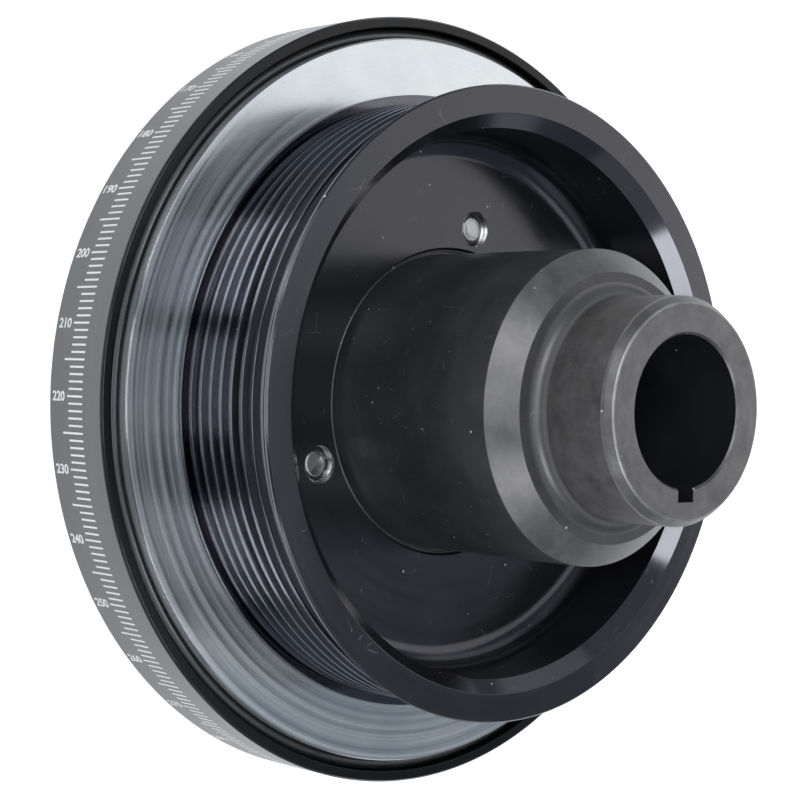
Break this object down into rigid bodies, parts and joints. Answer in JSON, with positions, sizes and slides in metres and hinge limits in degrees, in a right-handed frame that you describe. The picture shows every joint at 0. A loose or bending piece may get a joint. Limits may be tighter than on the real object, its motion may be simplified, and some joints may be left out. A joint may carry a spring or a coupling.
{
  "type": "harmonic balancer",
  "caption": "Crankshaft harmonic balancer: a marked outer shell round a floating steel ring, a multi-rib belt pulley behind it, and a long keyed hub with a seal nose.",
  "frame": {"origin": "centre of the front face, on the crank's axis, which the part stands on", "axes": "+Z along the crank's axis from the front face to the end of the nose, +X through the middle of the keyway"},
  "size_m": [0.1798, 0.1798, 0.1018],
  "materials": {
    "black_oxide_steel": "black oxide, satin",
    "black_shell": "satin black with white laser marks",
    "zinc_steel": "bright zinc over fine turning marks",
    "black_aluminium": "black anodised, satin",
    "inner_aluminium": "black anodised, satin",
    "ring_rubber": "soft black",
    "screw_steel": "plain steel with a light oil film"
  },
  "bodies": {
    "root": {"hub": "black_oxide_steel", "outer_shell": "black_shell", "inertia_weight": "zinc_steel", "inner_shell": "inner_aluminium", "pulley": "black_aluminium", "pulley_screws": "screw_steel", "shell_screws": "screw_steel", "rim_ring_rear": "ring_rubber", "rim_ring_front": "ring_rubber", "outer_face_ring": "ring_rubber", "inner_face_ring": "ring_rubber", "back_face_ring": "ring_rubber", "flange_ring": "ring_rubber"}
  },
  "joints": []
}
